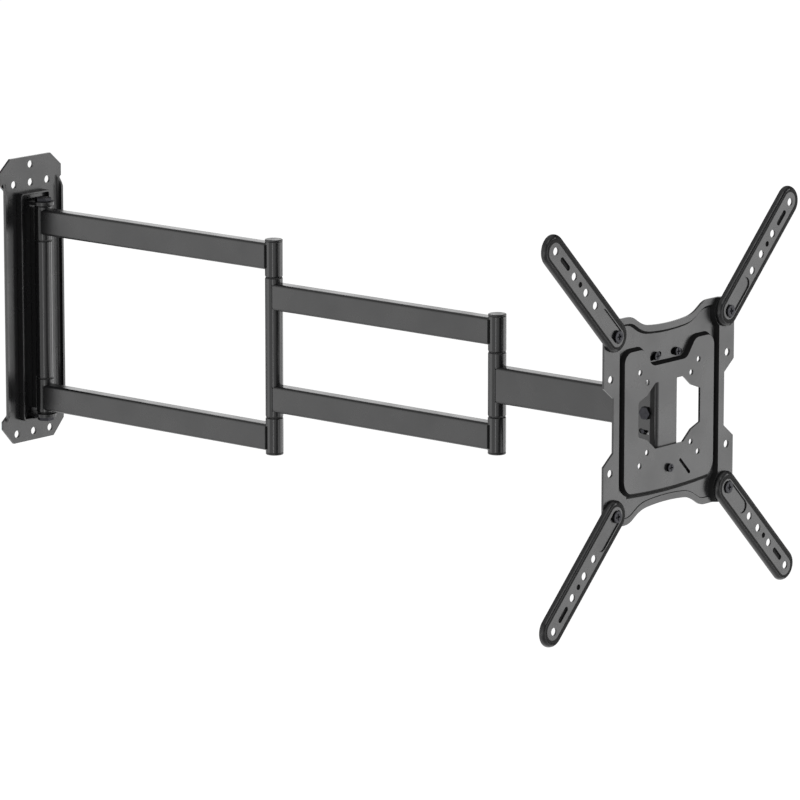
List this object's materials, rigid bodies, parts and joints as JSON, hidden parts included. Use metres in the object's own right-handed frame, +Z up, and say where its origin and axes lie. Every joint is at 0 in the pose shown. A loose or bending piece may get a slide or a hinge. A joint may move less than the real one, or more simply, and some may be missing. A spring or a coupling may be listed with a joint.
{
  "type": "full motion screen wall mount",
  "caption": "Long reach full motion screen wall mount: stamped wall plate, nesting hinged tube arms, swivel and tilt head, and a screen plate with turning extension arms.",
  "frame": {"origin": "middle of the outer wall holes, on the wall face of the wall plate", "axes": "X right along the wall, +Y into the wall, +Z up; the arms reach out along -Y"},
  "size_m": [0.4344, 0.9447, 0.4344],
  "materials": {
    "plate_steel": "satin black powder coat on stamped steel sheet",
    "arm_steel": "satin black powder coat on steel box tube",
    "hinge_steel": "semi-gloss black powder coat on turned steel",
    "black_hardware": "black zinc plated steel fasteners",
    "nylon": "matte black nylon",
    "cap_plastic": "matte black moulded plastic"
  },
  "bodies": {
    "wall": {"wall_plate": "plate_steel", "hinge_tray": "plate_steel", "upper_hinge_lug": "plate_steel", "lower_hinge_lug": "plate_steel", "wall_knuckle": "hinge_steel", "wall_hinge_pin": "black_hardware", "wall_hinge_nuts": "black_hardware"},
    "inner_arm": {"inner_arm_upper_wall_knuckle": "hinge_steel", "inner_arm_lower_wall_knuckle": "hinge_steel", "inner_arm_bushes": "nylon", "inner_arm_upper_tube": "arm_steel", "inner_arm_lower_tube": "arm_steel", "inner_arm_upper_elbow_knuckle": "hinge_steel", "inner_arm_lower_elbow_knuckle": "hinge_steel", "inner_elbow_pin": "black_hardware", "inner_elbow_caps": "cap_plastic"},
    "outer_arm": {"outer_arm_barrel": "hinge_steel", "outer_arm_bushes": "nylon", "outer_arm_upper_tube": "arm_steel", "outer_arm_lower_tube": "arm_steel", "outer_arm_upper_elbow_knuckle": "hinge_steel", "outer_arm_lower_elbow_knuckle": "hinge_steel", "outer_elbow_pin": "black_hardware", "outer_elbow_caps": "cap_plastic"},
    "head_arm": {"head_arm_barrel": "hinge_steel", "head_arm_bushes": "nylon", "head_arm_tube": "arm_steel", "swivel_barrel": "hinge_steel"},
    "yoke": {"swivel_yoke": "plate_steel", "swivel_washers": "nylon", "swivel_bolt": "black_hardware", "swivel_nut": "black_hardware", "tilt_limit_pin": "black_hardware", "tilt_friction_washers": "nylon"},
    "tilt_head": {"tilt_bracket": "plate_steel", "tilt_bolt": "black_hardware", "tilt_nut": "black_hardware", "level_screws": "black_hardware", "level_pivot_screw": "black_hardware"},
    "screen_plate": {"vesa_plate": "plate_steel", "arm_pivot_bolts": "black_hardware", "arm_pivot_washers": "nylon", "arm_pivot_nuts": "black_hardware"},
    "arm_upper_left": {"extension_arm_upper_left": "plate_steel"},
    "arm_upper_right": {"extension_arm_upper_right": "plate_steel"},
    "arm_lower_left": {"extension_arm_lower_left": "plate_steel"},
    "arm_lower_right": {"extension_arm_lower_right": "plate_steel"}
  },
  "joints": [
    {"name": "wall_swing", "type": "hinge", "parent": "wall", "child": "inner_arm", "pos_m": [0, -0.0223, 0], "axis": [0, 0, 1], "range_deg": [-90, 90]},
    {"name": "inner_elbow", "type": "hinge", "parent": "inner_arm", "child": "outer_arm", "pos_m": [0, -0.3783, 0], "axis": [0, 0, -1], "range_deg": [-165, 165]},
    {"name": "outer_elbow", "type": "hinge", "parent": "outer_arm", "child": "head_arm", "pos_m": [0, -0.701, 0], "axis": [0, 0, 1], "range_deg": [-150, 150]},
    {"name": "head_swivel", "type": "hinge", "parent": "head_arm", "child": "yoke", "pos_m": [0, -0.8937, 0], "axis": [0, 0, -1], "range_deg": [-90, 90]},
    {"name": "head_tilt", "type": "hinge", "parent": "yoke", "child": "tilt_head", "pos_m": [0, -0.9197, 0], "axis": [1, 0, 0], "range_deg": [-5, 15]},
    {"name": "plate_level", "type": "hinge", "parent": "tilt_head", "child": "screen_plate", "pos_m": [0, -0.9367, -0.0596], "axis": [0, -1, 0], "range_deg": [-3, 3]},
    {"name": "upper_left_arm_pivot", "type": "hinge", "parent": "screen_plate", "child": "arm_upper_left", "pos_m": [-0.096, -0.9367, 0.096], "axis": [0, -1, 0], "range_deg": [-45, 45]},
    {"name": "upper_right_arm_pivot", "type": "hinge", "parent": "screen_plate", "child": "arm_upper_right", "pos_m": [0.096, -0.9367, 0.096], "axis": [0, -1, 0], "range_deg": [-45, 45]},
    {"name": "lower_left_arm_pivot", "type": "hinge", "parent": "screen_plate", "child": "arm_lower_left", "pos_m": [-0.096, -0.9367, -0.096], "axis": [0, -1, 0], "range_deg": [-45, 45]},
    {"name": "lower_right_arm_pivot", "type": "hinge", "parent": "screen_plate", "child": "arm_lower_right", "pos_m": [0.096, -0.9367, -0.096], "axis": [0, -1, 0], "range_deg": [-45, 45]}
  ]
}
